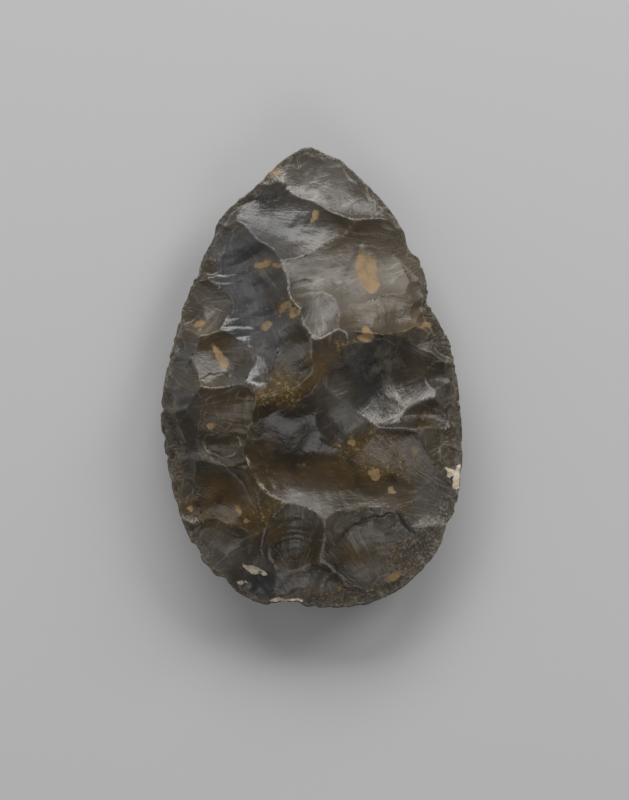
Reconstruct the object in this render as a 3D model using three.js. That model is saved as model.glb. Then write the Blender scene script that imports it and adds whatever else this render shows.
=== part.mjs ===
import * as THREE from "three";
import { mergeVertices } from "three/addons/utils/BufferGeometryUtils.js";

// Stone hand axe: one piece of dark flint, flaked over both faces to a sharp edge all round.
// It lies on its flatter face, tip towards +Y, domed face up. Millimetres and degrees.
// Bearings run clockwise from the tip, seen from above.

// The outline, seen from above
const reachStep = 15;
const reaches = [
  70.0, 61.6, 53.8, 47.6, 42.2, 43.3, 44.3, 47.1, 52.9, 60.5, 67.6, 71.0,
  69.8, 70.1, 65.0, 57.1, 50.8, 47.5, 44.6, 43.5, 44.9, 48.1, 55.7, 61.6,
]; // from the middle to the edge, at every step of bearing
const nicks = [
  { bearing: 4, depth: 1, spread: 3.5 },
  { bearing: 37, depth: 1.6, spread: 4.5 },
  { bearing: 57, depth: 1.1, spread: 3 },
  { bearing: 138, depth: 0.8, spread: 3 },
  { bearing: 186, depth: 1.5, spread: 5 },
  { bearing: 203, depth: 1, spread: 2.5 },
  { bearing: 214, depth: 1.1, spread: 2 },
  { bearing: 248, depth: 0.7, spread: 2 },
  { bearing: 258, depth: 0.6, spread: 1.5 },
  { bearing: 294, depth: 0.6, spread: 2 },
  { bearing: 312, depth: 0.8, spread: 2 },
  { bearing: 324, depth: 1.2, spread: 4 },
  { bearing: 341, depth: 0.6, spread: 3 },
]; // small bites out of the edge

// The edge, seen from the side
const edgeLevel = 15; // above the surface that the axe lies on
const edgeWaves = [
  { count: 2, height: 0.8, phase: 40 },
  { count: 3, height: 0.6, phase: 150 },
  { count: 7, height: 0.35, phase: 10 },
]; // the sway of the edge above and below its level
const edgeSlopeLeast = 0.05; // a face rises from the edge at least this steeply
const edgeSlopeMost = 1.6; // and at most this steeply

// The two faces, measured away from the edge level
const upperDome = { side: 1, crown: 22, fullness: 2.4 };
const lowerDome = { side: -1, crown: 16.5, fullness: 3 }; // cut off flat where the axe lies

// How flakes leave their scars
const deepen = 1.45; // every bowl goes this much below its listed depth
const rimSteps = 24; // points round a scar where it is fitted to the stone around it
const wallSlope = 1.3; // how steeply a scar's surface would rise beyond its outline
const biteMargin = 0.12; // a scar cuts at least this deep everywhere inside its outline
const biteReach = 0.93; // up to this share of the way to the edge
const edgeGrip = 4; // how firmly a scar that reaches the edge keeps to it

// Mesh
const divisions = 33; // along each of the twelve sides of the starting octahedron
const ridgePull = 0.5; // a corner this near a ridge between two scars moves onto it
const rimHold = 0.97; // beyond this share of the way to the edge the corners keep their places
const probe = 0.05; // the step by which the nearness of a ridge is felt out
const turningPasses = 3; // rounds of turning the triangles' sides to follow the ridges
const turningGain = 0.01; // the least gain in fit that turns a side
const narrowest = 0.5; // the least width of a triangle that this leaves

// One flake scar: the middle of its outline, length along the blow, breadth across it,
// direction of the blow from +X towards +Y, and depth of the bowl.
function scar(x, y, long, broad, blow, depth, special = {}) {
  return {
    x, y, halfLong: long / 2, halfBroad: broad / 2, blow: THREE.MathUtils.degToRad(blow), depth: depth * deepen,
    flare: 0, // how much wider it grows along the blow
    lip: 0, // how high above the edge it starts, where it reaches the edge
    most: (2.2 * depth + 0.6) * deepen, // the deepest its bowl may have to go to bite everywhere
    ...special,
  };
}

// Oldest first, so that each scar cuts into those before it.
const upperScars = [
  scar(-9, -19, 56, 34, -78, 1.3), // centre
  scar(-18.5, 14.5, 46, 34, -65, 1.3), // below the left shoulder
  scar(5.5, -55.5, 49, 38, 90, 0.9, { lip: 1.2, most: 1.4 }), // butt
  scar(34.5, -47, 33, 26, 120, 1.2, { lip: 0.8 }), // right of the butt
  scar(-35.5, -22, 36, 26, 0, 1.5), // left flank
  scar(39, -13, 27, 36, 180, 1.5), // right flank
  scar(18.5, 22, 43, 21, 175, 1.2), // band below the fan
  scar(9.5, -25, 60, 38, 163, 1.5), // belly
  scar(12.5, -9.5, 25, 24, 215, 1.1), // lower rim of the hollow
  scar(-30, -36.5, 35, 22, -25, 1.2), // left, low
  scar(-26.5, -9.5, 21, 18, 0, 0.9), // left, middle
  scar(-27, -21, 16, 10, 0, 0.5), // left, small and oval
  scar(-30, -53.5, 26, 18, 40, 1, { lip: 0.6 }), // left of the butt
  scar(18, -54, 33, 29, 110, 0.9, { lip: 1.2, most: 1.8 }), // butt, right half
  scar(-4.5, -49.5, 23, 17, 90, 0.9, { most: 1.8 }), // butt, rippled
  scar(-3.5, -64, 18, 21, 90, 0.6, { lip: 1, most: 1.3 }), // foot of the butt
  scar(-15.5, -60.5, 13, 9, 60, 0.8, { lip: 0.5 }), // notch in the butt
  scar(12.5, 35, 50, 30, -172, 1.6), // fan across the upper right
  scar(-7.5, 49, 40, 26, -5, 0.8), // upper left
  scar(-20, 23, 50, 24, -76, 1.9, { flare: -0.22, most: 4.5 }), // long scar down the left
  scar(-27, 5, 21, 17, -10, 1), // left, beside the long scar
  scar(-32.5, 21, 18, 16, -20, 0.8), // left, above it
  scar(23, 0, 34, 28, 190, 1.4), // hollow on the right
  scar(18, -1, 23, 26, 205, 2.3, { most: 3.6 }), // its deep end
  scar(9.5, 63, 52, 26, 160, 0.5, { lip: 0.4 }), // tip
  scar(2.5, 18, 13, 11, -90, 0.4), // toe of the fan
  scar(16, 12, 11, 4, 0, 0.25), // slit beside it
  scar(37.5, -39.5, 16, 16, 170, 0.6), // ribbed, lower right
  scar(35.5, 12, 15, 10, 180, 0.6), // right margin, from the top down
  scar(30, 39.5, 12, 9, 200, 0.4),
  scar(34.5, -11.5, 16, 9, 180, 0.5),
  scar(38, -49.5, 11, 7, 160, 0.5, { lip: 0.5 }),
  scar(32.5, -55.5, 12, 9, 140, 0.5, { lip: 0.6 }),
  scar(26.5, -62.5, 11, 8, 115, 0.5, { lip: 0.6 }),
  scar(12.5, -43.5, 12, 5, 20, 0.3), // step in the butt
  scar(7, -64.5, 10, 9, 90, 0.5, { lip: 0.6 }), // butt, middle
  scar(-13, 63, 10, 7, -50, 0.3), // left of the tip
  scar(-38, 1.5, 9, 7, 0, 0.5), // left margin
  scar(-39, -28, 10, 7, 10, 0.5),
];

const lowerScars = [
  scar(-30, 7, 30, 36, -10, 1), // broad scars of the first thinning
  scar(32, -5, 30, 38, 175, 1),
  scar(3, 46, 44, 36, -90, 1.2),
  scar(2, -50, 38, 42, 90, 1.2, { lip: 0.6 }),
  scar(-31, -22, 32, 28, 5, 1), // then inward from the flanks
  scar(31, -28, 30, 24, 170, 1),
  scar(-27, 27, 34, 22, -25, 1),
  scar(27, 22, 32, 26, 195, 1),
  scar(-24, -46, 36, 24, 50, 1, { lip: 0.5 }), // then from the butt
  scar(22, -50, 36, 26, 125, 1, { lip: 0.5 }),
  scar(-9, 50, 34, 20, -55, 0.8), // then from the tip
  scar(13, 46, 36, 22, 230, 0.8),
  scar(0, -61, 22, 24, 95, 0.7, { lip: 0.5 }),
  scar(-36, 8, 18, 15, 0, 0.6), // smaller ones along the edge
  scar(-37, -9, 17, 13, 5, 0.6),
  scar(38, 8, 17, 15, 180, 0.6),
  scar(39, -15, 17, 14, 185, 0.6),
  scar(33, -40, 17, 14, 150, 0.6),
  scar(-33, -36, 16, 13, 25, 0.6),
  scar(-24, 37, 15, 12, -35, 0.5),
  scar(23, 38, 16, 12, 215, 0.5),
  scar(3, 61, 15, 11, -95, 0.4),
];

// A fixed, even scatter of values from 0 to 1.
function scatter(item, draw) {
  return THREE.MathUtils.euclideanModulo(Math.sin(item * 12.9898 + draw * 78.233) * 43758.5453, 1);
}

// The small trimming scars that follow one another along the whole edge of a face.
function trimmingScars(count, series) {
  const scars = [];
  for (let i = 0; i < count; i += 1) {
    const vary = (draw) => scatter(i, series + draw);
    const bearing = ((i + 0.7 * vary(1)) * 360) / count;
    const scale = bearing < 38 || bearing > 335 ? 0.55 : 1; // finer round the tip
    const long = (5 + 6 * vary(2) ** 1.5) * scale;
    const broad = (5 + 5 * vary(3)) * scale;
    const distance = edgeReach(bearing) - long * (0.3 + 0.2 * vary(4));
    const outward = 90 - bearing;
    const angle = THREE.MathUtils.degToRad(outward);
    const blow = outward + 180 + 30 * (vary(5) - 0.5);
    scars.push(scar(
      distance * Math.cos(angle), distance * Math.sin(angle),
      long, broad, blow, 0.35 + 0.4 * vary(6), { lip: 0.3 },
    ));
  }
  return scars;
}

// Distance from the middle to the edge: a smooth curve through the reaches, less the nicks.
function edgeReach(bearing) {
  const turn = THREE.MathUtils.euclideanModulo(bearing, 360);
  const step = Math.floor(turn / reachStep);
  const t = turn / reachStep - step;
  const near = (offset) => reaches[(step + offset + reaches.length) % reaches.length];
  const [a, b, c, d] = [near(-1), near(0), near(1), near(2)];
  let reach = b + 0.5 * t * (c - a + t * (2 * a - 5 * b + 4 * c - d + t * (3 * (b - c) + d - a)));
  for (const nick of nicks) {
    const away = THREE.MathUtils.euclideanModulo(turn - nick.bearing + 180, 360) - 180;
    reach -= nick.depth * Math.max(0, 1 - (away / nick.spread) ** 2);
  }
  return reach;
}

// Where a point lies: its bearing, the edge's distance there, and its share of that distance.
function placeOf(x, y) {
  const bearing = THREE.MathUtils.radToDeg(Math.atan2(x, y));
  const reach = edgeReach(bearing);
  return { bearing, reach, share: Math.hypot(x, y) / reach };
}

// The sway of the edge; the faces take it up fully at the edge and not at all in the middle.
function swayAt(bearing, share) {
  let sway = 0;
  for (const wave of edgeWaves) {
    sway += wave.height * Math.sin(THREE.MathUtils.degToRad(wave.count * bearing + wave.phase));
  }
  return sway * share * share;
}

// A scar's own coordinates: along and across the blow, 1 on its outline.
function withinScar(flake, x, y) {
  const dx = x - flake.x;
  const dy = y - flake.y;
  const along = (dx * Math.cos(flake.blow) + dy * Math.sin(flake.blow)) / flake.halfLong;
  const widening = 1 + flake.flare * THREE.MathUtils.clamp(along, -1.3, 1.3);
  const across = (dy * Math.cos(flake.blow) - dx * Math.sin(flake.blow)) / (flake.halfBroad * widening);
  return { along, across, rho: Math.hypot(along, across) };
}

function pointOnScar(flake, angle, rho) {
  const u = flake.halfLong * rho * Math.cos(angle);
  const v = flake.halfBroad * rho * Math.sin(angle) * (1 + flake.flare * rho * Math.cos(angle));
  return {
    x: flake.x + u * Math.cos(flake.blow) - v * Math.sin(flake.blow),
    y: flake.y + u * Math.sin(flake.blow) + v * Math.cos(flake.blow),
  };
}

// The smooth sheet that spans a scar's outline, before its bowl is hollowed below it.
function lidTerms({ along, across, rho }) {
  const keep = rho > 1 ? 1 / rho : 1;
  const p = along * keep;
  const q = across * keep;
  return [1, p, q, p * p - q * q, 2 * p * q];
}

function lidHeight(flake, spot) {
  return lidTerms(spot).reduce((sum, term, i) => sum + term * flake.lid[i], 0);
}

function scarHeight(flake, x, y) {
  const spot = withinScar(flake, x, y);
  const bowl = flake.depth * (Math.min(spot.rho, 1) ** 2 - 1);
  const wall = wallSlope * Math.max(0, spot.rho - 1) * flake.halfBroad;
  return lidHeight(flake, spot) + bowl + wall;
}

// Height of a face away from the edge's level there: the lowest of its dome and all its scars,
// and on the lower face the flat on which the axe lies. The gap is how far the next lowest of
// them lies above it, which is nothing on a ridge.
function surfaceOf(face, x, y) {
  const place = placeOf(x, y);
  let lowest = face.crown * (1 - Math.min(place.share, 1.2) ** face.fullness);
  let next = Infinity;
  const lower = (height) => {
    if (height < lowest) {
      next = lowest;
      lowest = height;
    } else {
      next = Math.min(next, height);
    }
  };
  const level = edgeLevel + swayAt(place.bearing, place.share);
  if (face.side < 0) {
    lower(level);
  }
  for (const flake of face.scars) {
    lower(scarHeight(flake, x, y));
  }
  const inward = Math.max(0, (1 - place.share) * place.reach);
  const height = THREE.MathUtils.clamp(lowest, edgeSlopeLeast * inward, edgeSlopeMost * inward);
  return { height, gap: next - lowest, place, level };
}

// Least squares by the normal equations, solved by elimination.
function fitLid(rows) {
  const size = 5;
  const firmness = [0, 0, 0, 0.3, 0.3];
  const grid = firmness.map((firm, i) => firmness.map((_, j) => (i === j ? firm : 0)).concat(0));
  for (const { terms, target, weight } of rows) {
    for (let i = 0; i < size; i += 1) {
      for (let j = 0; j < size; j += 1) {
        grid[i][j] += weight * terms[i] * terms[j];
      }
      grid[i][size] += weight * terms[i] * target;
    }
  }
  for (let i = 0; i < size; i += 1) {
    for (let row = 0; row < size; row += 1) {
      if (row !== i) {
        const share = grid[row][i] / grid[i][i];
        for (let j = i; j <= size; j += 1) {
          grid[row][j] -= share * grid[i][j];
        }
      }
    }
  }
  return grid.map((row, i) => row[size] / row[i]);
}

// Strikes one flake off a face: its lid is fitted to the stone round its outline, or to the edge
// where the outline runs off the stone, and its bowl goes deep enough to bite inside it all.
function strike(face, flake) {
  const rows = [];
  for (let i = 0; i < rimSteps; i += 1) {
    const rim = pointOnScar(flake, (i / rimSteps) * 2 * Math.PI, 1);
    const { share } = placeOf(rim.x, rim.y);
    const beyond = share > 1;
    const x = beyond ? rim.x / share : rim.x;
    const y = beyond ? rim.y / share : rim.y;
    const spot = withinScar(flake, x, y);
    const edgeAim = flake.lip + flake.depth * (1 - Math.min(spot.rho, 1) ** 2);
    rows.push({
      terms: lidTerms(spot),
      target: beyond ? edgeAim : surfaceOf(face, x, y).height,
      weight: beyond ? edgeGrip : 1,
    });
  }
  flake.lid = fitLid(rows);
  let deepest = flake.depth;
  for (const rho of [0, 0.3, 0.55, 0.75, 0.88]) {
    for (let i = 0; i < rimSteps; i += 1) {
      const { x, y } = pointOnScar(flake, (i / rimSteps) * 2 * Math.PI, rho);
      const { height, place } = surfaceOf(face, x, y);
      if (place.share < biteReach) {
        const bite = lidHeight(flake, withinScar(flake, x, y)) - height + biteMargin;
        deepest = Math.max(deepest, bite / (1 - rho * rho));
      }
    }
  }
  flake.depth = Math.min(deepest, flake.most);
  face.scars.push(flake);
}

function knap(dome, scars) {
  const face = { ...dome, scars: [] };
  for (const flake of scars) {
    strike(face, flake);
  }
  return face;
}

// Moves a corner of the mesh onto the nearest ridge, where one is close, so that ridges stay crisp.
function settleOnRidge(face, x, y) {
  const { gap } = surfaceOf(face, x, y);
  const slopeX = (surfaceOf(face, x + probe, y).gap - surfaceOf(face, x - probe, y).gap) / (2 * probe);
  const slopeY = (surfaceOf(face, x, y + probe).gap - surfaceOf(face, x, y - probe).gap) / (2 * probe);
  const slope = Math.hypot(slopeX, slopeY);
  const move = gap / slope;
  if (slope === 0 || move > ridgePull) {
    return { x, y };
  }
  return { x: x - (move * slopeX) / slope, y: y - (move * slopeY) / slope };
}

// The level of a face at a point, above the surface that the axe lies on.
function levelOf(face, x, y) {
  const { height, level } = surfaceOf(face, x, y);
  return Math.max(0, level + face.side * height);
}

// Turns the side that two triangles share to the other diagonal of their four corners, wherever
// that one follows the true surface better, so that no side cuts across a ridge.
function turnSides(stone, faces) {
  const corners = stone.attributes.position;
  const index = stone.index.array;
  const at = (i) => new THREE.Vector3().fromBufferAttribute(corners, i);
  const doubleArea = (a, b, c) => (b.x - a.x) * (c.y - a.y) - (b.y - a.y) * (c.x - a.x);
  const owner = new Map();
  for (let i = 0; i < index.length; i += 3) {
    for (let k = 0; k < 3; k += 1) {
      owner.set(`${index[i + k]} ${index[i + ((k + 1) % 3)]}`, i);
    }
  }
  const turned = new Set();
  for (const [side, first] of owner) {
    const [from, to] = side.split(" ").map(Number);
    const second = owner.get(`${to} ${from}`);
    if (from > to || turned.has(first) || turned.has(second)) {
      continue;
    }
    const opposite = (start) => [0, 1, 2].map((k) => index[start + k]).find((n) => n !== from && n !== to);
    const [left, right] = [opposite(first), opposite(second)];
    const [a, b, c, d] = [from, to, left, right].map(at);
    const up = Math.sign(doubleArea(a, b, c));
    const face = faces.find(({ side: faceSide }) => faceSide === up);
    const width = (p, q, r) => (up * doubleArea(p, q, r)) /
      Math.max(p.distanceTo(q), q.distanceTo(r), r.distanceTo(p));
    const miss = (p, q) => Math.abs(levelOf(face, (p.x + q.x) / 2, (p.y + q.y) / 2) - (p.z + q.z) / 2);
    const sameFace = up * doubleArea(b, a, d) > 0;
    const wideEnough = Math.min(width(a, d, c), width(d, b, c)) > narrowest;
    if (sameFace && wideEnough && miss(c, d) < miss(a, b) - turningGain) {
      index.set([from, right, left], first);
      index.set([right, to, left], second);
      turned.add(first).add(second);
    }
  }
}

// The stone: an octahedron, divided and rounded, whose upper and lower halves become the two
// faces and whose equator becomes the edge.
function stoneGeometry() {
  const ball = new THREE.OctahedronGeometry(1, divisions - 1);
  ball.deleteAttribute("normal");
  ball.deleteAttribute("uv");
  const stone = mergeVertices(ball, 1e-4);
  const upper = knap(upperDome, [...upperScars, ...trimmingScars(46, 0)]);
  const lower = knap(lowerDome, [...lowerScars, ...trimmingScars(40, 20)]);
  const corners = stone.attributes.position;
  const corner = new THREE.Vector3();
  for (let i = 0; i < corners.count; i += 1) {
    corner.fromBufferAttribute(corners, i).normalize();
    const bearing = Math.atan2(corner.x, corner.y);
    const share = Math.sqrt(1 - Math.abs(corner.z)); // keeps the corners evenly spread
    const distance = share * edgeReach(THREE.MathUtils.radToDeg(bearing));
    let spot = { x: distance * Math.sin(bearing), y: distance * Math.cos(bearing) };
    const face = corner.z > 0 ? upper : lower;
    if (share < rimHold) {
      spot = settleOnRidge(face, spot.x, spot.y);
    }
    corners.setXYZ(i, spot.x, spot.y, levelOf(face, spot.x, spot.y));
  }
  for (let pass = 0; pass < turningPasses; pass += 1) {
    turnSides(stone, [upper, lower]);
  }
  stone.computeVertexNormals();
  return stone;
}

const flint = new THREE.MeshStandardMaterial({ color: 0x3a352f, roughness: 0.35, metalness: 0 });
const handAxe = new THREE.Mesh(stoneGeometry(), flint);
handAxe.name = "hand_axe";

const part = new THREE.Group();
part.add(handAxe);

export default part;
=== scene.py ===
import bpy
import math
import numpy as np
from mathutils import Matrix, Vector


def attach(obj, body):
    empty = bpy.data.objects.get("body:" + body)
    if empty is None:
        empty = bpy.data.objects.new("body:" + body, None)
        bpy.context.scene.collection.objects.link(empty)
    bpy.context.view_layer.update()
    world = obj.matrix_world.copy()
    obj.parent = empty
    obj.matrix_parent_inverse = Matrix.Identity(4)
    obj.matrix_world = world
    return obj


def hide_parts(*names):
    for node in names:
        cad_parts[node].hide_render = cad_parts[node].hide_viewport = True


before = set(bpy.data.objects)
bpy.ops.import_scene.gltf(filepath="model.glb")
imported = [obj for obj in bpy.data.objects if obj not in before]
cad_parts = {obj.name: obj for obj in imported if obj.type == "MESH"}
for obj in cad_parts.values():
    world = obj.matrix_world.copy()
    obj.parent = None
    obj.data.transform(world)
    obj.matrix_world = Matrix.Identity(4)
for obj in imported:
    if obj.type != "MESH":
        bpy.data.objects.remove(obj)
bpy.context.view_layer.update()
print("frame loaded")

mm = 0.001

# the stone's form, in mm and degrees
form = {
    "reachStep": 15,  # degrees of bearing, clockwise from the tip
    "reaches": [70.0, 61.6, 53.8, 47.6, 42.2, 43.3, 44.3, 47.1, 52.9, 60.5, 67.6, 71.0,
                69.8, 70.1, 65.0, 57.1, 50.8, 47.5, 44.6, 43.5, 44.9, 48.1, 55.7, 61.6],
    "nicks": [(4, 1, 3.5), (37, 1.6, 4.5), (57, 1.1, 3), (138, 0.8, 3), (186, 1.5, 5), (203, 1, 2.5),
              (214, 1.1, 2), (248, 0.7, 2), (258, 0.6, 1.5), (294, 0.6, 2), (312, 0.8, 2),
              (324, 1.2, 4), (341, 0.6, 3)],  # bearing, depth, spread
    "waves": [(2, 0.8, 40), (3, 0.6, 150), (7, 0.35, 10)],  # count, height, phase of the edge's sway
    "edgeLevel": 15,  # height of the edge over the ground
    "slopeLeast": 0.05,  # the least and the most that a face may rise from the edge
    "slopeMost": 1.6,
    "beyondEdge": 1.2,  # how far past the edge the dome is followed
    "rimSteps": 24,  # places round a scar that its rim is fitted to
    "edgeGrip": 4,  # weight of those that lie past the stone's edge
    "stiffness": 0.3,  # holds back the twist of the rim
    "wallSlope": 1.3,  # of the bowl past its rim
    "biteRings": [0, 0.3, 0.55, 0.75, 0.88],  # where a scar has to cut the stone below it
    "biteMargin": 0.12,
    "biteReach": 0.93,  # only within this share of the way to the edge
    "deepen": 1.45,  # factor on the depth of every scar
    "deepest": (2.2, 0.6),  # factor and addition that limit how deep one may be cut
    "nearby": (2.2, 2),  # factor and addition for the square that a scar can reach
    "edgeWear": 0.03,
    "swells": [(0.13, 13, 11), (0.018, 5, 12), (0.004, 2, 13)],  # height, wave and seed of uneven faces
    "driftX": [(0.55, 13, 5), (0.05, 4, 6)],  # the same for the way that scars stray from true ovals
    "driftY": [(0.55, 13, 7), (0.05, 4, 8)],
}
# trimming and retouch are a number of scars and the series of their scattered values
upperDome = {"side": 1, "crown": 22, "fullness": 2.4, "trimming": (46, 0), "retouch": (120, 40)}
lowerDome = {"side": -1, "crown": 16.5, "fullness": 3, "trimming": (40, 20), "retouch": (120, 50)}


def scar(x, y, long, broad, blow, depth, **special):
    factor, addition = form["deepest"]
    flake = {"x": x, "y": y, "halfLong": long / 2, "halfBroad": broad / 2, "blow": math.radians(blow),
             "depth": depth * form["deepen"], "flare": 0, "lip": 0,
             "most": (factor * depth + addition) * form["deepen"],
             "ripple": 0.03, "wave": 2.6, "hackle": 0.02, "slate": 0, "lilac": 0, "warm": 0.3}
    flake.update(special)
    return flake


def upperScars():
    return [
        scar(-9, -19, 56, 34, -78, 1.3, warm=0.45),  # centre
        scar(-18.5, 14.5, 46, 34, -65, 1.3, warm=0.5),  # below the left shoulder
        scar(5.5, -55.5, 49, 38, 90, 0.9, lip=1.2, most=1.4),  # butt
        scar(34.5, -47, 33, 26, 120, 1.2, lip=0.8, lilac=0.25),  # right of the butt
        scar(-35.5, -22, 36, 26, 0, 1.5),  # left flank
        scar(39, -13, 27, 36, 180, 1.5, lilac=0.2),  # right flank
        scar(18.5, 22, 43, 21, 175, 1.2, warm=0.55),  # band below the fan
        scar(9.5, -25, 60, 38, 163, 1.5, warm=0.5, ripple=0.04, wave=4),  # belly
        scar(12.5, -9.5, 25, 24, 215, 1.1, lilac=0.3, ripple=0.1, wave=2.4),  # lower rim of the hollow
        scar(-30, -36.5, 35, 22, -25, 1.2, warm=0.6, hackle=0.05),  # left, low
        scar(-26.5, -9.5, 21, 18, 0, 0.9, warm=0.6, hackle=0.06),  # left, middle
        scar(-27, -21, 16, 10, 0, 0.5, warm=0.6),  # left, small and oval
        scar(-30, -53.5, 26, 18, 40, 1, lip=0.6, warm=0.5, hackle=0.05),  # left of the butt
        scar(18, -54, 33, 29, 110, 0.9, lip=1.2, most=1.8, warm=0.7),  # butt, right half
        scar(-4.5, -49.5, 23, 17, 90, 0.9, most=1.8, warm=0.7, ripple=0.1, wave=2.2),  # butt, rippled
        scar(-3.5, -64, 18, 21, 90, 0.6, lip=1, most=1.3, warm=0.4),  # foot of the butt
        scar(-15.5, -60.5, 13, 9, 60, 0.8, lip=0.5, slate=0.5),  # notch in the butt
        scar(12.5, 35, 50, 30, -172, 1.6, lilac=0.75, warm=0.35, hackle=0.09),  # fan, upper right
        scar(-7.5, 49, 40, 26, -5, 0.8, slate=0.7, ripple=0.05, wave=3.4),  # upper left
        scar(-20, 23, 50, 24, -76, 1.9, flare=-0.22, most=4.5, slate=1, ripple=0.1, wave=2.8),  # long, left
        scar(-27, 5, 21, 17, -10, 1, warm=0.5),  # left, beside the long scar
        scar(-32.5, 21, 18, 16, -20, 0.8, warm=0.4, lilac=0.2),  # left, above it
        scar(23, 0, 34, 28, 190, 1.4, slate=0.3, warm=0.3, hackle=0),  # hollow on the right
        scar(18, -1, 23, 26, 205, 2.3, most=3.6, slate=0.4, warm=0.1, hackle=0),  # its deep end
        scar(9.5, 63, 52, 26, 160, 0.5, lip=0.4, aim=192, lilac=0.9, warm=0, ripple=0.07, wave=4.2,
             hackle=0.03),  # tip
        scar(2.5, 18, 13, 11, -90, 0.4, lilac=0.6, hackle=0.1),  # toe of the fan
        scar(16, 12, 11, 4, 0, 0.25, lilac=0.3),  # slit beside it
        scar(37.5, -39.5, 16, 16, 170, 0.6, lilac=0.7, ripple=0.12, wave=1.9),  # ribbed, lower right
        scar(35.5, 12, 15, 10, 180, 0.6, lilac=0.2),  # right margin, from the top down
        scar(30, 39.5, 12, 9, 200, 0.4, lilac=0.3),
        scar(34.5, -11.5, 16, 9, 180, 0.5, lilac=0.3),
        scar(38, -49.5, 11, 7, 160, 0.5, lip=0.5, lilac=0.4),
        scar(32.5, -55.5, 12, 9, 140, 0.5, lip=0.6, lilac=0.3),
        scar(26.5, -62.5, 11, 8, 115, 0.5, lip=0.6, lilac=0.3),
        scar(12.5, -43.5, 12, 5, 20, 0.3, lilac=0.5),  # step in the butt
        scar(7, -64.5, 10, 9, 90, 0.5, lip=0.6),  # butt, middle
        scar(-13, 63, 10, 7, -50, 0.3, lilac=0.5),  # left of the tip
        scar(-38, 1.5, 9, 7, 0, 0.5, lilac=0.3),  # left margin
        scar(-39, -28, 10, 7, 10, 0.5, lilac=0.2),
    ]


def lowerScars():
    return [
        scar(-30, 7, 30, 36, -10, 1, ripple=0.06),  # broad scars of the first thinning
        scar(32, -5, 30, 38, 175, 1, warm=0.5, ripple=0.06),
        scar(3, 46, 44, 36, -90, 1.2, slate=0.5),
        scar(2, -50, 38, 42, 90, 1.2, lip=0.6, warm=0.5),
        scar(-31, -22, 32, 28, 5, 1, warm=0.5),  # then inward from the flanks
        scar(31, -28, 30, 24, 170, 1, slate=0.4),
        scar(-27, 27, 34, 22, -25, 1, slate=0.6, ripple=0.08),
        scar(27, 22, 32, 26, 195, 1, lilac=0.4),
        scar(-24, -46, 36, 24, 50, 1, lip=0.5, warm=0.6),  # then from the butt
        scar(22, -50, 36, 26, 125, 1, lip=0.5, lilac=0.3),
        scar(-9, 50, 34, 20, -55, 0.8, lilac=0.6, ripple=0.08),  # then from the tip
        scar(13, 46, 36, 22, 230, 0.8, slate=0.5),
        scar(0, -61, 22, 24, 95, 0.7, lip=0.5),
        scar(-36, 8, 18, 15, 0, 0.6, lilac=0.3),  # smaller ones along the edge
        scar(-37, -9, 17, 13, 5, 0.6),
        scar(38, 8, 17, 15, 180, 0.6, lilac=0.3),
        scar(39, -15, 17, 14, 185, 0.6, warm=0.6),
        scar(33, -40, 17, 14, 150, 0.6),
        scar(-33, -36, 16, 13, 25, 0.6, lilac=0.2),
        scar(-24, 37, 15, 12, -35, 0.5),
        scar(23, 38, 16, 12, 215, 0.5, lilac=0.3),
        scar(3, 61, 15, 11, -95, 0.4, lilac=0.7),
    ]


def scatter(item, draw):
    return (math.sin(item * 12.9898 + draw * 78.233) * 43758.5453) % 1.0


# small scars struck in from all round the edge; a pair is the least value and what chance adds
trimming = {
    "jitter": 0.7,
    "long": (5, 6),
    "longPower": 1.5,
    "broad": (5, 5),
    "inward": (0.3, 0.2),
    "wobble": 30,
    "depth": (0.35, 0.4),
    "lilac": (0.15, 0.3),
    "lilacDraw": 9,
    "tipScale": 0.55,  # they are smaller near the tip
    "looks": {"lip": 0.3, "warm": 0.4, "ripple": 0.02},
}
retouch = {  # the finest chips, struck last
    "jitter": 0.8,
    "long": (1.6, 2.6),
    "longPower": 2,
    "broad": (1.8, 2.4),
    "inward": (0.25, 0.35),
    "wobble": 50,
    "depth": (0.2, 0.25),
    "lilac": (0.3, 0.4),
    "lilacDraw": 7,
    "tipScale": 1,
    "looks": {"lip": 0.25, "warm": 0.4, "ripple": 0, "hackle": 0},
}
tipEnds = (38, 335)  # bearings where the tip's edge ends and begins again


def edgeScars(style, count, series):
    scars = []
    for i in range(count):
        def between(name, draw, power=1):
            least, more = style[name]
            return least + more * scatter(i, series + draw) ** power
        bearing = (i + style["jitter"] * scatter(i, series + 1)) * 360 / count
        scale = style["tipScale"] if bearing < tipEnds[0] or bearing > tipEnds[1] else 1
        long = between("long", 2, style["longPower"]) * scale
        broad = between("broad", 3) * scale
        distance = float(edgeReach(np.array(bearing))) - long * between("inward", 4)
        angle = math.radians(90 - bearing)
        blow = 270 - bearing + style["wobble"] * (scatter(i, series + 5) - 0.5)
        scars.append(scar(distance * math.cos(angle), distance * math.sin(angle), long, broad, blow,
                          between("depth", 6), lilac=between("lilac", style["lilacDraw"]), **style["looks"]))
    return scars


# surfaces
chips = {  # the little bites of use and retouch along the edge
    "count": 150,
    "jitter": 0.9,
    "spread": (0.6, 1.5),
    "depth": (0.05, 0.5),
}


def curveAt(a, b, c, d, t):  # from b to c on a smooth curve through all four
    return b + 0.5 * t * (c - a + t * (2 * a - 5 * b + 4 * c - d + t * (3 * (b - c) + d - a)))


def notchAt(bearing, middle, spread):  # one in the middle of a notch, none past its ends
    away = np.mod(bearing - middle + 180, 360) - 180
    return np.clip(1 - (away / spread) ** 2, 0, None)


def edgeReach(bearing):
    reaches = np.array(form["reaches"])
    count = len(reaches)
    turn = np.mod(bearing, 360) / form["reachStep"]
    step = np.floor(turn).astype(int)
    a, b, c, d = (reaches[(step + k) % count] for k in (-1, 0, 1, 2))
    reach = curveAt(a, b, c, d, turn - step)
    for middle, depth, spread in form["nicks"]:
        reach = reach - depth * notchAt(bearing, middle, spread)
    return reach


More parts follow.
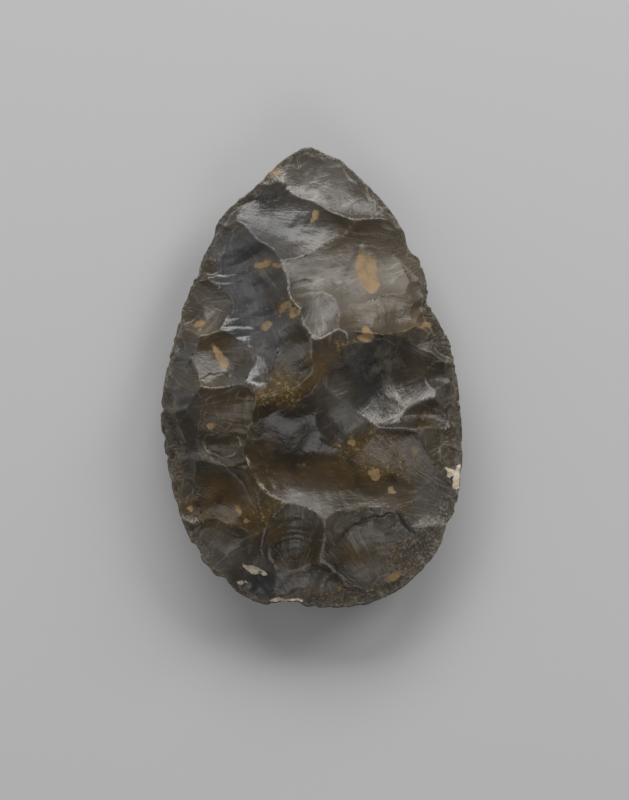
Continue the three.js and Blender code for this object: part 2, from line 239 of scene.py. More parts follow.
def chippedReach(bearing):
    reach = edgeReach(bearing)
    bite = np.zeros_like(reach)
    leastSpread, moreSpread = chips["spread"]
    leastDepth, moreDepth = chips["depth"]
    for i in range(chips["count"]):
        middle = (i + chips["jitter"] * scatter(i, 61)) * 360 / chips["count"]
        spread = leastSpread + moreSpread * scatter(i, 62)
        depth = leastDepth + moreDepth * scatter(i, 63) ** 2
        bite = np.maximum(bite, depth * notchAt(bearing, middle, spread))
    return reach - bite - form["edgeWear"]


def placeOf(x, y, fine):
    bearing = np.degrees(np.arctan2(x, y))
    reach = (chippedReach if fine else edgeReach)(bearing)
    return bearing, reach, np.hypot(x, y) / reach


def swayAt(bearing, share):
    sway = 0
    for count, height, phase in form["waves"]:
        sway = sway + height * np.sin(np.radians(count * bearing + phase))
    return sway * share * share


def withinScar(flake, x, y):
    dx, dy = x - flake["x"], y - flake["y"]
    c, s = math.cos(flake["blow"]), math.sin(flake["blow"])
    along = (dx * c + dy * s) / flake["halfLong"]
    across = (dy * c - dx * s) / (flake["halfBroad"] * (1 + flake["flare"] * np.clip(along, -1.3, 1.3)))
    return along, across, np.hypot(along, across)


def pointOnScar(flake, angle, rho):
    u = flake["halfLong"] * rho * np.cos(angle)
    v = flake["halfBroad"] * rho * np.sin(angle) * (1 + flake["flare"] * rho * np.cos(angle))
    c, s = math.cos(flake["blow"]), math.sin(flake["blow"])
    return flake["x"] + u * c - v * s, flake["y"] + u * s + v * c


def lidTerms(along, across, rho):
    keep = 1 / np.maximum(rho, 1)
    p, q = along * keep, across * keep
    return [np.ones_like(p), p, q, p * p - q * q, 2 * p * q]


def lidHeight(flake, spot):
    return sum(term * weight for term, weight in zip(lidTerms(*spot), flake["lid"]))


breakStyle = {
    "back": 1.1,  # half lengths from the middle of a scar to its struck point
    "growth": 2.1,  # half lengths over which the ripples grow
    "bends": [(0.9, 1.7, 1), (0.35, 4.3, 2)],  # height, count and shift of the waves that bend them
    "fissures": [41, 67, 97],  # counts of the fine rays round the struck point
}


def struckFrom(flake, x, y):  # distance from the struck point, and direction away from it
    aim = math.radians(flake["aim"]) if "aim" in flake else flake["blow"]
    c, s = math.cos(aim), math.sin(aim)
    start = breakStyle["back"] * flake["halfLong"]
    dx, dy = x - flake["x"] + start * c, y - flake["y"] + start * s
    return np.hypot(dx, dy), np.arctan2(dy * c - dx * s, dx * c + dy * s)


def fineRelief(flake, x, y):
    distance, angle = struckFrom(flake, x, y)
    grow = np.clip(distance / (breakStyle["growth"] * flake["halfLong"]), 0, 1.1)
    seed = flake["x"] * 3.1 + flake["y"] * 1.7
    bend = sum(height * np.sin(angle * count + seed * shift) for height, count, shift in breakStyle["bends"])
    phase = (distance + bend) * 2 * math.pi / flake["wave"]
    swell = 0.55 + 0.45 * np.sin(distance * 0.9 / flake["wave"] + seed)
    ripple = flake["ripple"] * (0.2 + grow) * swell * (np.sin(phase) + 0.4 * np.sin(2 * phase + 0.9))
    fissure = sum(np.sin(angle * count + (k + 1) * seed) for k, count in enumerate(breakStyle["fissures"]))
    hackle = flake["hackle"] * grow ** 3 * fissure * 0.5
    return ripple + hackle


def scarHeight(flake, x, y, fine):
    spot = withinScar(flake, x, y)
    rho = spot[2]
    height = lidHeight(flake, spot) + flake["depth"] * (np.minimum(rho, 1) ** 2 - 1)
    height = height + form["wallSlope"] * np.maximum(0, rho - 1) * flake["halfBroad"]
    if fine:
        height = height + fineRelief(flake, x, y)
    return height


def smoothNoise(x, y, wave, seed, count=7):
    rng = np.random.default_rng(seed)
    total = 0
    for turn, stretch, phase in zip(rng.uniform(0, 2 * math.pi, count), rng.uniform(0.7, 1.5, count),
                                    rng.uniform(0, 2 * math.pi, count)):
        k = 2 * math.pi / (wave * stretch)
        total = total + np.sin(k * (x * math.cos(turn) + y * math.sin(turn)) + phase)
    return total / math.sqrt(count)


def wander(start, x, y, layers):  # a start value with layers of smooth noise on it
    for height, wave, seed in layers:
        start = start + height * smoothNoise(x, y, wave, seed)
    return start


# owners of what no scar has cut: the dome, and the flat that the stone lies on
uncut = -1
resting = -2


def surfaceOf(face, x, y, fine=False):
    bearing, reach, share = placeOf(x, y, fine)
    wx, wy = x, y
    if fine:
        wx = wander(x, x, y, form["driftX"])
        wy = wander(y, x, y, form["driftY"])
    lowest = face["crown"] * (1 - np.minimum(share, form["beyondEdge"]) ** face["fullness"])
    following = np.full_like(lowest, np.inf)
    owner = np.full(lowest.shape, uncut)
    level = form["edgeLevel"] + swayAt(bearing, share)
    if face["side"] < 0:
        following = np.maximum(lowest, level)
        owner = np.where(level < lowest, resting, owner)
        lowest = np.minimum(lowest, level)
    factor, addition = form["nearby"]
    for k, flake in enumerate(face["scars"]):
        span = factor * max(flake["halfLong"], flake["halfBroad"]) + addition
        near = (np.abs(wx - flake["x"]) < span) & (np.abs(wy - flake["y"]) < span)
        if not near.any():
            continue
        height = scarHeight(flake, wx[near], wy[near], fine)
        low, nxt, own = lowest[near], following[near], owner[near]
        wins = height < low
        following[near] = np.where(wins, low, np.minimum(nxt, height))
        owner[near] = np.where(wins, k, own)
        lowest[near] = np.where(wins, height, low)
    inward = np.maximum(0, (1 - share) * reach)
    gap = following - lowest
    if fine:
        lowest = lowest + wander(0, x, y, form["swells"]) * np.where(owner == resting, 0, 1)
    height = np.clip(lowest, form["slopeLeast"] * inward, form["slopeMost"] * inward)
    return {"height": height, "gap": gap, "owner": owner, "share": share, "level": level, "inward": inward}


def strike(face, flake):
    angle = np.arange(form["rimSteps"]) * 2 * math.pi / form["rimSteps"]
    x, y = pointOnScar(flake, angle, 1)
    share = placeOf(x, y, False)[2]
    beyond = share > 1
    x, y = np.where(beyond, x / share, x), np.where(beyond, y / share, y)
    spot = withinScar(flake, x, y)
    edgeAim = flake["lip"] + flake["depth"] * (1 - np.minimum(spot[2], 1) ** 2)
    target = np.where(beyond, edgeAim, surfaceOf(face, x, y)["height"])
    weight = np.where(beyond, form["edgeGrip"], 1.0)
    terms = np.stack(lidTerms(*spot), 1)
    grid = terms.T @ (terms * weight[:, None]) + np.diag([0, 0, 0, form["stiffness"], form["stiffness"]])
    flake["lid"] = np.linalg.solve(grid, terms.T @ (target * weight))
    rings = np.repeat(form["biteRings"], len(angle))
    x, y = pointOnScar(flake, np.tile(angle, len(form["biteRings"])), rings)
    under = surfaceOf(face, x, y)
    bite = lidHeight(flake, withinScar(flake, x, y)) - under["height"] + form["biteMargin"]
    bite = np.where(under["share"] < form["biteReach"], bite / (1 - rings * rings), 0)
    flake["depth"] = min(max(flake["depth"], float(bite.max())), flake["most"])
    face["scars"].append(flake)


def knap(dome, scars):
    face = dict(dome, scars=[])
    for flake in scars:
        strike(face, flake)
    return face


# the hand axe
axe = {
    "cuts": (1, 61),  # cuts of the starting cube, one round after the other
    "ridgePull": 0.22,  # how far a vertex may be drawn onto a ridge
    "probe": 0.05,  # step over which slopes are measured
    "rimHold": 0.985,  # past this share of the way to the edge none is drawn
    "edgeBand": 1e-6,  # vertices of the ball no higher than this belong to the lower face
}


def crease(points, cut, wide, side=0, pale=0, dark=0):
    return {"points": points, "cut": cut, "wide": wide, "side": side, "pale": pale, "dark": dark}


# points in mm, then the depth of the cut, below nought for a raised line, and how wide it is
# side 1 steps down to the left of the line and -1 to the right, fading with distance; 0 is a groove
# pale and dark are how strongly the line is coloured: pale is a painted highlight along it, dark a painted
# shadow just beside it
creases = [
    crease([(2, 66.4), (-1, 63.6), (-2.6, 60.2), (-2.9, 56)], 0.22, 0.8),  # rings of the tip
    crease([(8.5, 66.8), (4.2, 65.4), (1.4, 62.6), (0.4, 58.5)], 0.24, 0.9),
    crease([(11.5, 66), (8, 65.4), (5, 63.6), (3.8, 61)], 0.14, 0.8),
    crease([(-3.4, 64.5), (-4.9, 61), (-4.8, 57.5)], 0.14, 0.7),
    crease([(-4.4, 51.8), (-3.6, 47.6), (-6.8, 44.4)], 0.2, 1.2),  # swirls of the upper left
    crease([(-9, 45.2), (-3.4, 45.4), (1.4, 47.4)], 0.16, 1),
    crease([(-14.4, 56.2), (-12.4, 53.8), (-10, 54.6)], 0.25, 0.6),
    crease([(-21, 50), (-19.4, 46.6), (-20, 44)], 0.14, 0.9),
    crease([(17.7, 45), (14.6, 39.5), (13.2, 34.5), (8, 27.5), (3.6, 23.6)], 0.34, 1.1),  # fan
    crease([(21.9, 42), (20.6, 34), (22.4, 26)], 0.18, 1.3),
    crease([(28.4, 41), (27.6, 35), (30.5, 28)], 0.14, 1.2),
    crease([(11, 45), (8, 40.5), (2.4, 38)], -0.12, 0.6, pale=0.5),
    crease([(11, 31.5), (9.6, 27.5), (9.2, 21.5)], 0.14, 0.5),
    crease([(-6.6, 27), (-3, 28.9), (0.8, 28)], 0.35, 0.8, side=-1, dark=0.7),
    crease([(-20, 12.6), (-14.2, 13.4), (-8.7, 16.4), (-4.5, 19.4)], 0.2, 0.8),  # long scar
    crease([(-19.2, 9.8), (-12.8, 10.6), (-6.4, 14.4)], 0.2, 0.8),
    crease([(-18, 6.4), (-12.1, 7.2), (-5.9, 11.6)], 0.16, 0.8),
    crease([(-16.6, 3), (-10.7, 4.2), (-7, 7.4)], 0.16, 0.9),
    crease([(-3.8, -47.6), (0.4, -46.4), (4.8, -47.4)], -0.14, 0.38, pale=0.5),  # butt
    crease([(-3, -49.8), (1, -48.6), (4.9, -49.6)], -0.14, 0.38, pale=0.5),
    crease([(-2.6, -51.9), (1, -50.9), (4.9, -51.4)], -0.12, 0.38, pale=0.4),
    crease([(-1, -53.9), (2.6, -52.9), (5, -52.6)], -0.12, 0.38, pale=0.4),
    crease([(4.9, -53), (5.4, -48.6), (8.2, -43.6), (12.9, -39.8),
            (17.5, -39)], 0.35, 2.4, side=-1, pale=0.35),
    crease([(7, -50.8), (9.5, -46.6), (12.2, -44.4), (15, -42.9), (19.1, -41.8),
            (25, -40.8)], 1.1, 3.4, side=-1, dark=1),  # the open step
    crease([(-33.6, -24.3), (-27.4, -25.7), (-23.2, -29.1), (-19.8, -33.3), (-17, -38.2),
            (-10.5, -40.2)], -0.2, 0.6, pale=0.6),  # left flank
    crease([(-32.6, -19), (-30.9, -17.2), (-24.6, -17.3), (-21.2, -18.7), (-21.8, -21.5), (-25.3, -24),
            (-29.5, -23), (-32.2, -21), (-32.6, -19)], -0.14, 0.38, pale=0.7),
    crease([(-26.7, -2), (-30.9, -6.2), (-31.9, -11.1), (-31.6, -16)], -0.12, 0.38, pale=0.45),
    crease([(-24, -4), (-25.3, -9), (-24, -14), (-26, -17)], -0.12, 0.38, pale=0.4),
    crease([(-34.4, -4), (-32.8, -9), (-33.6, -14), (-34.7, -21)], -0.12, 0.38, pale=0.4),
    crease([(-21.2, -3), (-22.8, -8), (-22, -13)], -0.12, 0.38, pale=0.4),
    crease([(-28.8, -4), (-29.4, -8), (-27.8, -12), (-28.4, -15)], -0.1, 0.38, pale=0.35),
    crease([(-17.7, -21.5), (-18.6, -27.7), (-17.7, -33.3)], -0.1, 0.38, pale=0.35),
    crease([(-19.8, -4.1), (-20.1, -11.1), (-17.7, -18), (-14.2, -24.3), (-12.1, -32.6), (-10.7, -39.6),
            (-8.6, -41.8)], -0.25, 1.1, pale=0.35),  # left of the centre
    crease([(-37, -46.5), (-31.6, -44.4), (-26.7, -45.5), (-21.8, -47.5),
            (-15.4, -46.6)], 0.5, 3, side=-1, pale=0.35),
    crease([(-15, -47), (-12.8, -44.4), (-5.9, -42.4), (0.4, -42.8),
            (3.4, -46)], 0.3, 2.5, side=-1, pale=0.4),
    crease([(5.2, -64.6), (7, -59.5), (5.9, -54)], -0.1, 0.38, pale=0.3),
    crease([(5, -64.2), (10.5, -65), (14.5, -62.2)], 0.3, 2, side=-1, pale=0.4),
    crease([(33.8, -16.5), (34.4, -20.5), (33.2, -25)], -0.1, 0.6, pale=0.4),
    crease([(39.4, -21.6), (38.8, -24.5), (41, -28.6)], -0.2, 0.7, pale=0.5),
    crease([(-19, -2.6), (-24, 0.6), (-30, 1), (-36, -2.4)], 0.4, 2.4, side=1, pale=0.2),
]
creaseStyle = {
    "steps": 8,  # points on the curve from one given point to the next
    "reach": 3,  # how many half widths off a crease still counts
    "softStart": 0.18,
    "stray": (0.25, 3),  # how far and in what wave a crease strays from its curve
    "taper": 6,
    # widths of the painted highlight on a crease and of the painted shadow beside it
    "paleWidth": 0.27,
    "darkWidth": 0.45,
    "darkAside": 0.2,
}


def curveThrough(points):
    line = np.array([points[0]] + list(points) + [points[-1]], dtype=float)
    t = np.linspace(0, 1, creaseStyle["steps"], endpoint=False)[:, None]
    spots = []
    for a, b, c, d in zip(line, line[1:], line[2:], line[3:]):
        spots.append(curveAt(a, b, c, d, t))
    return np.vstack(spots + [line[-1:]])


def awayFrom(points, x, y):  # signed distance from a curve, left of it positive, and the share of its length
    line = curveThrough(points)
    best = np.full(x.shape, np.inf)
    sign = np.ones(x.shape)
    place = np.zeros(x.shape)
    for i, (a, b) in enumerate(zip(line, line[1:])):
        ex, ey = b - a
        length = math.hypot(ex, ey) + 1e-9
        t = np.clip(((x - a[0]) * ex + (y - a[1]) * ey) / length ** 2, 0, 1)
        dx, dy = x - a[0] - t * ex, y - a[1] - t * ey
        away = np.hypot(dx, dy)
        nearer = away < best
        best = np.where(nearer, away, best)
        sign = np.where(nearer, np.where(ex * dy - ey * dx >= 0, 1, -1), sign)
        place = np.where(nearer, (i + t) / (len(line) - 1), place)
    return best * sign, place


def creaseMarks(x, y):  # relief, pale lines and dark lines of all the creases
    relief, pale, dark = (np.zeros(x.shape) for _ in range(3))
    stray, wave = creaseStyle["stray"]
    for line in creases:
        points = np.array(line["points"])
        span = creaseStyle["reach"] * line["wide"]
        near = (x > points[:, 0].min() - span) & (x < points[:, 0].max() + span)
        near &= (y > points[:, 1].min() - span) & (y < points[:, 1].max() + span)
        if not near.any():
            continue
        px = x[near] + stray * smoothNoise(x[near], y[near], wave, 21)
        py = y[near] + stray * smoothNoise(x[near], y[near], wave, 22)
        away, place = awayFrom(line["points"], px, py)
        closed = line["points"][0] == line["points"][-1]
        taper = 1 if closed else np.clip(np.minimum(place, 1 - place) * creaseStyle["taper"], 0, 1) ** 0.7
        taper = taper * (0.75 + 0.25 * smoothNoise(px, py, 5, 23))
        side = line["side"]
        if side:
            down = away * side
            shape = np.clip(down / creaseStyle["softStart"], 0, 1)
            shape = shape * np.exp(-np.maximum(down, 0) / line["wide"])
        else:
            shape = np.exp(-(away / line["wide"]) ** 2)
        relief[near] -= line["cut"] * shape * taper
        # painted highlight along the line, and painted shadow just beside it
        onLine = np.exp(-(away / creaseStyle["paleWidth"]) ** 2)
        pale[near] = np.maximum(pale[near], line["pale"] * taper * onLine)
        beside = np.exp(-((away + creaseStyle["darkAside"]) / creaseStyle["darkWidth"]) ** 2)
        dark[near] = np.maximum(dark[near], line["dark"] * taper * beside)
    return relief, pale, dark


def levelOf(face, x, y):  # height of the finished stone over the ground
    s = surfaceOf(face, x, y, True)
    height = s["height"]
    if face["side"] > 0:
        relief = creaseMarks(x, y)[0] * np.clip(s["inward"], 0, 1)
        height = np.clip(height + relief, form["slopeLeast"] * s["inward"], None)
    return np.maximum(0, s["level"] + face["side"] * height)


def settleOnRidges(face, x, y):
    h = axe["probe"]
    gap = surfaceOf(face, x, y, True)["gap"]
    slopeX = (surfaceOf(face, x + h, y, True)["gap"] - gap) / h
    slopeY = (surfaceOf(face, x, y + h, True)["gap"] - gap) / h
    slope = np.hypot(slopeX, slopeY) + 1e-9
    move = gap / slope
    move = np.where(move < axe["ridgePull"], move, 0)
    return x - move * slopeX / slope, y - move * slopeY / slope


def makeAxe():
    bpy.ops.object.select_all(action="DESELECT")
    bpy.ops.mesh.primitive_cube_add(size=2)
    stone = bpy.context.object
    stone.name = "knappedFlint"
    bpy.ops.object.mode_set(mode="EDIT")
    bpy.ops.mesh.select_all(action="SELECT")
    for cuts in axe["cuts"]:
        bpy.ops.mesh.subdivide(number_cuts=cuts)
    bpy.ops.transform.tosphere(value=1)
    bpy.ops.object.mode_set(mode="OBJECT")
    mesh = stone.data
    count = len(mesh.vertices)
    co = np.empty(count * 3)
    mesh.vertices.foreach_get("co", co)
    co = co.reshape(-1, 3)
    co /= np.linalg.norm(co, axis=1)[:, None]
    bearing = np.arctan2(co[:, 0], co[:, 1])
    share = np.sqrt(1 - np.abs(co[:, 2]))  # spreads the vertices evenly over each face
    distance = share * chippedReach(np.degrees(bearing))
    x, y = distance * np.sin(bearing), distance * np.cos(bearing)
    z = np.zeros(count)
    faces = {}
    onTop = co[:, 2] > axe["edgeBand"]
    for dome, scars in ((upperDome, upperScars()), (lowerDome, lowerScars())):
        side = dome["side"]
        scars = scars + edgeScars(trimming, *dome["trimming"]) + edgeScars(retouch, *dome["retouch"])
        face = faces[side] = knap(dome, scars)
        here = onTop if side > 0 else ~onTop
        free = here & (share < axe["rimHold"])
        x[free], y[free] = settleOnRidges(face, x[free], y[free])
        z[here] = levelOf(face, x[here], y[here])
    co = np.stack([x, y, z], 1)
    mesh.vertices.foreach_set("co", (co * mm).ravel())
    cutQuads(mesh, co, faces)
    paintStone(mesh, co, faces)
    return stone


def cutChosen(mesh, chosen, method):
    bpy.ops.object.mode_set(mode="EDIT")
    bpy.ops.mesh.select_all(action="DESELECT")
    bpy.ops.object.mode_set(mode="OBJECT")
    mesh.polygons.foreach_set("select", chosen)
    bpy.ops.object.mode_set(mode="EDIT")
    bpy.ops.mesh.quads_convert_to_tris(quad_method=method, ngon_method="BEAUTY")
    bpy.ops.object.mode_set(mode="OBJECT")


def cutQuads(mesh, co, faces):  # cuts every square face along the diagonal that lies in the surface
    quads = np.empty(len(mesh.polygons) * 4, dtype=int)
    mesh.polygons.foreach_get("vertices", quads)
    corners = co[quads.reshape(-1, 4)]
    middle = corners.mean(1)
    normal = np.cross(corners[:, 2] - corners[:, 0], corners[:, 3] - corners[:, 1])[:, 2]
    true = np.zeros(len(middle))
    for side in (1, -1):
        here = normal > 0 if side > 0 else normal <= 0
        true[here] = levelOf(faces[side], middle[here, 0], middle[here, 1])
    first = np.abs(corners[:, [0, 2], 2].mean(1) - true)
    second = np.abs(corners[:, [1, 3], 2].mean(1) - true)
    cutChosen(mesh, first <= second, "FIXED")
    stillSquare = np.array([len(face.vertices) == 4 for face in mesh.polygons])
    cutChosen(mesh, stillSquare, "FIXED_ALTERNATE")


paint = {
    "fray": 0.3,  # of a spot's outline, as a share of its size
    "frayWave": 2.6,
    "stray": (0.9, 7),  # how far and in what wave a patch strays from an oval
    "ownShare": {1: 0.45, -1: 1},  # how much of a scar's own colour shows on each face
    "noScar": 0.2,
    "ridgeWidth": 0.10,
    "edgeWidth": 0.8,
    "goldBelow": 0.2,
}


def blotch(co, x, y, rx, ry, turn, seed):  # one half on the outline of an uneven stain
    size = math.sqrt(rx * ry)
    fray, wave = paint["fray"], paint["frayWave"]
    px = co[:, 0] - x + fray * size * smoothNoise(co[:, 0], co[:, 1], wave * size, seed)
    py = co[:, 1] - y + fray * size * smoothNoise(co[:, 0], co[:, 1], wave * size, seed + 50)
    c, s = math.cos(math.radians(turn)), math.sin(math.radians(turn))
    along, across = (px * c + py * s) / rx, (py * c - px * s) / ry
    return np.clip(1.0 - 0.5 * np.hypot(along, across), 0, 1)


marks = {  # x, y, half lengths, turn
    "tan": [(16.3, 31.5, 2.6, 5.4, 0), (15.5, 35.5, 1.4, 3.4, 10), (18.2, 28.2, 2.6, 2.4, 30),
            (16, 12.2, 2.1, 1.7, 0), (-27.6, 6.6, 1.6, 3.6, 25), (-26.3, 4.6, 1.8, 1.5, 0),
            (-34, 16, 2, 1.4, 20), (-13.5, 15.5, 1.7, 1.5, 0), (-15, 33.8, 2.6, 1, 5),
            (-10.5, 33.2, 1.5, 0.8, 0), (-7.5, 21, 2.6, 1.2, 30), (-5, 19, 1.6, 1.2, 0),
            (1, 48.5, 1.2, 2, -25), (-12.4, 62.6, 2.6, 1.8, -40), (34.5, 15.5, 2.6, 1.1, 10),
            (19, -29, 1.7, 1.5, 0), (24, -34, 1.2, 1, 0), (-30, -14.5, 1.2, 1.2, 0),
            (-22, -39.5, 0.8, 1.6, 10), (-19.5, -43, 1, 0.9, 0), (-37, -39.5, 1.1, 0.9, 0),
            (12, -19.5, 1, 1.4, 0), (31, -22, 0.8, 1.6, 0), (24.5, -60.5, 2.6, 1.2, 30)],
    "cortex": [(-18, -57.6, 3.2, 0.9, -18), (-14.5, -59, 1.6, 0.6, -30), (-8, -67.8, 5.2, 0.9, -3),
               (44.3, -31, 1.7, 3.2, 0), (42, -29, 1.5, 1.5, 0), (-20.8, -62, 1.8, 0.5, 0)],
}


tints = {  # x, y, half lengths, turn, strength of soft patches
    # slate: blue-grey stone, and on the long scar's upper left a painted sheen
    "slate": [(-14, 9, 6, 5, 0, 0.5), (-27, 33, 3.5, 8, 15, 0.5), (-22, 30, 5, 7, 0, 0.3),
              (-16, 43, 9, 6, 20, 0.5), (-6, 47, 5, 7, 0, 0.4), (-25, 36, 4, 7, 20, 0.9),
              (-20, 24, 7, 9, 0, 0.75), (-13, 10, 7, 6, 20, 0.9), (-38.5, 5, 4, 5, 0, 0.6),
              (16, -3, 4.5, 8, 0, 0.5), (4, -14, 5, 6, 40, 0.5), (-20, -1, 5, 3, 0, 0.6),
              (-37, -22, 4, 9, 0, 0.5), (-14.5, -65.5, 4, 3, 0, 0.8), (-16, -61, 5, 4, 0, 0.7),
              (31, -1, 5, 5, 0, 0.3), (-3, -62.5, 6, 3, 0, 0.5), (-27, -53, 6, 5, -30, 0.3),
              (-38, -8, 3, 5, 0, 0.6)],
    # lilac: pale patina, and in places a painted sheen, such as the bright crescent on the lower rim of the
    # hollow
    "lilac": [(5, 61, 10, 8, 0, 0.9), (-4, 31, 8, 4, -10, 0.75), (6, 33, 7, 9, 60, 0.4),
              (27, 35, 7, 9, 0, 0.3), (12, 24, 7, 4, 10, 0.55), (1, 18, 6, 5, 0, 0.15),
              (8, -6, 2.8, 7, 12, 1), (13, -12, 6, 2.6, -30, 1), (19, -13.5, 6, 2, 0, 0.6),
              (27, -9, 5, 2.4, 25, 0.5), (34, -6.5, 5, 2, 20, 0.6), (1, -37, 9, 6, -15, 0.55),
              (4, -42, 6, 3, -20, 0.4), (22, -36, 9, 3, 8, 0.45), (36, -29.5, 5, 4, 30, 0.6),
              (16.5, -47, 8, 3.4, 24, 0.75), (19, -58.5, 5, 3.6, 30, 1), (-26, -51, 6, 4.4, -35, 0.6),
              (38, -38, 5, 5, 0, 0.5), (-14, 8, 7, 5, 20, 0.45), (37, -36.5, 5, 4, 0, 0.6),
              (-20, -2, 5, 2.6, 0, 0.4), (-29, -51, 7, 5, -35, 0.5), (-14, -56.5, 4, 2, -15, 0.6),
              (-30, -9, 7, 8, 0, 0.3), (36, -48, 6, 10, 20, 0.35), (-32, 22, 5, 7, -20, 0.35),
              (33, 9.5, 5, 2, 10, 0.5), (-24, 47, 4, 3, 20, 0.4), (-3, -63, 4, 2, 0, 0.3)],
    # dark: darker stone, and in places painted shade where the stone reflects no light, such as the upper
    # side of the hollow on the right
    "dark": [(-8, 45, 8, 5, 0, 0.35), (-16, 52, 5, 4, 0, 0.4), (-21, 40, 6, 5, -30, 0.7),
             (8, 47, 6, 4, -10, 0.5), (14, 57, 1.3, 6, 5, 0.35), (-8, 22, 5, 5, 30, 0.7),
             (-10, -12, 11, 10, 0, 0.75), (0, -21, 8, 7, 0, 0.6), (17, 2, 8, 8, 0, 0.7),
             (24, 5, 9, 5, 0, 0.5), (-27, -20.3, 4.5, 2.6, 0, 0.9), (-26, 3, 6, 5, 0, 0.4),
             (-24, -29, 6, 7, 0, 0.5), (21, -14.6, 9, 1.4, 0, 0.8), (33, -12, 8, 3, 0, 0.5),
             (-16.5, -62, 4.4, 3.4, 0, 0.9), (7, -36, 6, 4, 0, 0.2), (12, -56, 7, 5, 0, 0.5),
             (-9, -50, 5, 4, 0, 0.4), (-37, -14, 4, 4, 0, 0.5), (-10, 41, 7, 4, -20, 0.3),
             (0, -57.5, 7, 3, 0, 0.5), (36, -1, 4, 6, 0, 0.3), (-14, -34, 3, 8, 15, 0.4)],
    "warm": [(2, 1, 4.5, 7, 10, 1), (-10, -2, 8, 6, 0, 0.8), (24, 19, 12, 5, 8, 0.6),
             (20, -23, 12, 8, 0, 0.8), (-26, -35, 9, 8, 0, 0.7), (-22, -41, 6, 5, 0, 0.8),
             (4, 33, 6, 6, 50, 0.6), (12, -56, 8, 6, 0, 0.7), (-8, -50, 7, 5, 0, 0.8),
             (-28, -14, 8, 10, 0, 0.5), (8, -28, 8, 6, 0, 0.4), (-34.5, 15, 4, 4, 0, 0.6),
             (-27, 4, 5, 5, 0, 0.5), (10, 46, 8, 5, -20, 0.5), (27, 3, 8, 6, 0, 0.4),
             (30, 36, 6, 8, 0, 0.3), (0, -58, 9, 4, 0, 0.5), (36, 17, 5, 4, 0, 0.6),
             (-6, -29, 5, 4, 0, 0.5), (28, -55, 8, 6, 40, 0.4)],
    "dull": [(-14, 44, 13, 7, 10, 0.9), (4, 44, 8, 6, 0, 0.5), (27, 31, 10, 9, 0, 1),
             (14, 34, 10, 8, 0, 0.8), (-4, -38, 12, 5, -15, 0.7), (-4, 31, 8, 5, 0, 0.6),
             (-28, 4, 6, 5, 0, 0.8), (-32, 20, 5, 6, 0, 0.8), (20, 18, 15, 6, 8, 0.6),
             (2, 17, 6, 5, 0, 0.6)],
    "fawn": [(15, 31, 9, 9, 0, 0.8), (26, 33, 9, 9, 0, 0.6), (22, 20, 13, 5, 10, 0.5),
             (5, 27, 6, 5, 40, 0.5), (-33, 20, 5, 8, 0, 0.3), (30, -7, 8, 6, 0, 0.35),
             (20, -38, 10, 3, 8, 0.4), (-27, -50, 4, 5, -20, 0.5), (8, -44, 4, 5, -40, 0.5),
             (0, -48, 6, 4, 0, 0.3), (36, 12, 5, 5, 0, 0.3), (-12, -36, 4, 7, 20, 0.3),
             (-30, -10, 6, 8, 0, 0.25), (36, -20, 6, 6, 0, 0.2)],
    "gold": [(-9, -7, 8, 3.6, 0, 1), (-8, 21, 5, 3.6, 20, 0.9), (-16, 33.5, 5, 1.8, 0, 0.8),
             (20, -22, 11, 8, 0, 1), (27, -27, 5, 4, 0, 0.7), (-2, -24, 8, 6, 0, 0.35),
             (8, 8, 12, 5, 0, 0.35), (-8, 0, 9, 5, 0, 0.5), (-14, -41, 5, 5, 0, 0.6),
             (35, 15, 5, 3, 0, 0.6), (30, -56, 9, 5, 40, 0.5), (-20, -41, 5, 5, 0, 0.4),
             (8, -65, 12, 2.4, 0, 0.6), (37, -11, 4, 4, 0, 0.6), (-22, 44, 5, 2, -10, 0.5),
             (-13, -33, 3, 6, 15, 0.4), (-24, 8, 4, 5, 0, 0.3), (-37, -39, 2.6, 3, -50, 0.7)],
    "grit": [(33, -53, 11, 8, 50, 1), (40, -42, 4, 10, 10, 0.9), (41, -18, 3, 10, 0, 0.8),
             (12, -66, 14, 2.6, 0, 0.7), (38, 12, 4, 5, 0, 0.5), (-41, -20, 2.4, 14, 0, 0.5),
             (-28, 38, 2.4, 8, -25, 0.5)],
}


def tintField(name, x, y):
    total = np.zeros(x.shape)
    stray, wave = paint["stray"]
    px = x + stray * smoothNoise(x, y, wave, 31)
    py = y + stray * smoothNoise(x, y, wave, 32)
    for tx, ty, rx, ry, turn, strength in tints[name]:
        c, s = math.cos(math.radians(turn)), math.sin(math.radians(turn))
        dx, dy = px - tx, py - ty
        total += strength * np.exp(-(((dx * c + dy * s) / rx) ** 2 + ((dy * c - dx * s) / ry) ** 2))
    return total


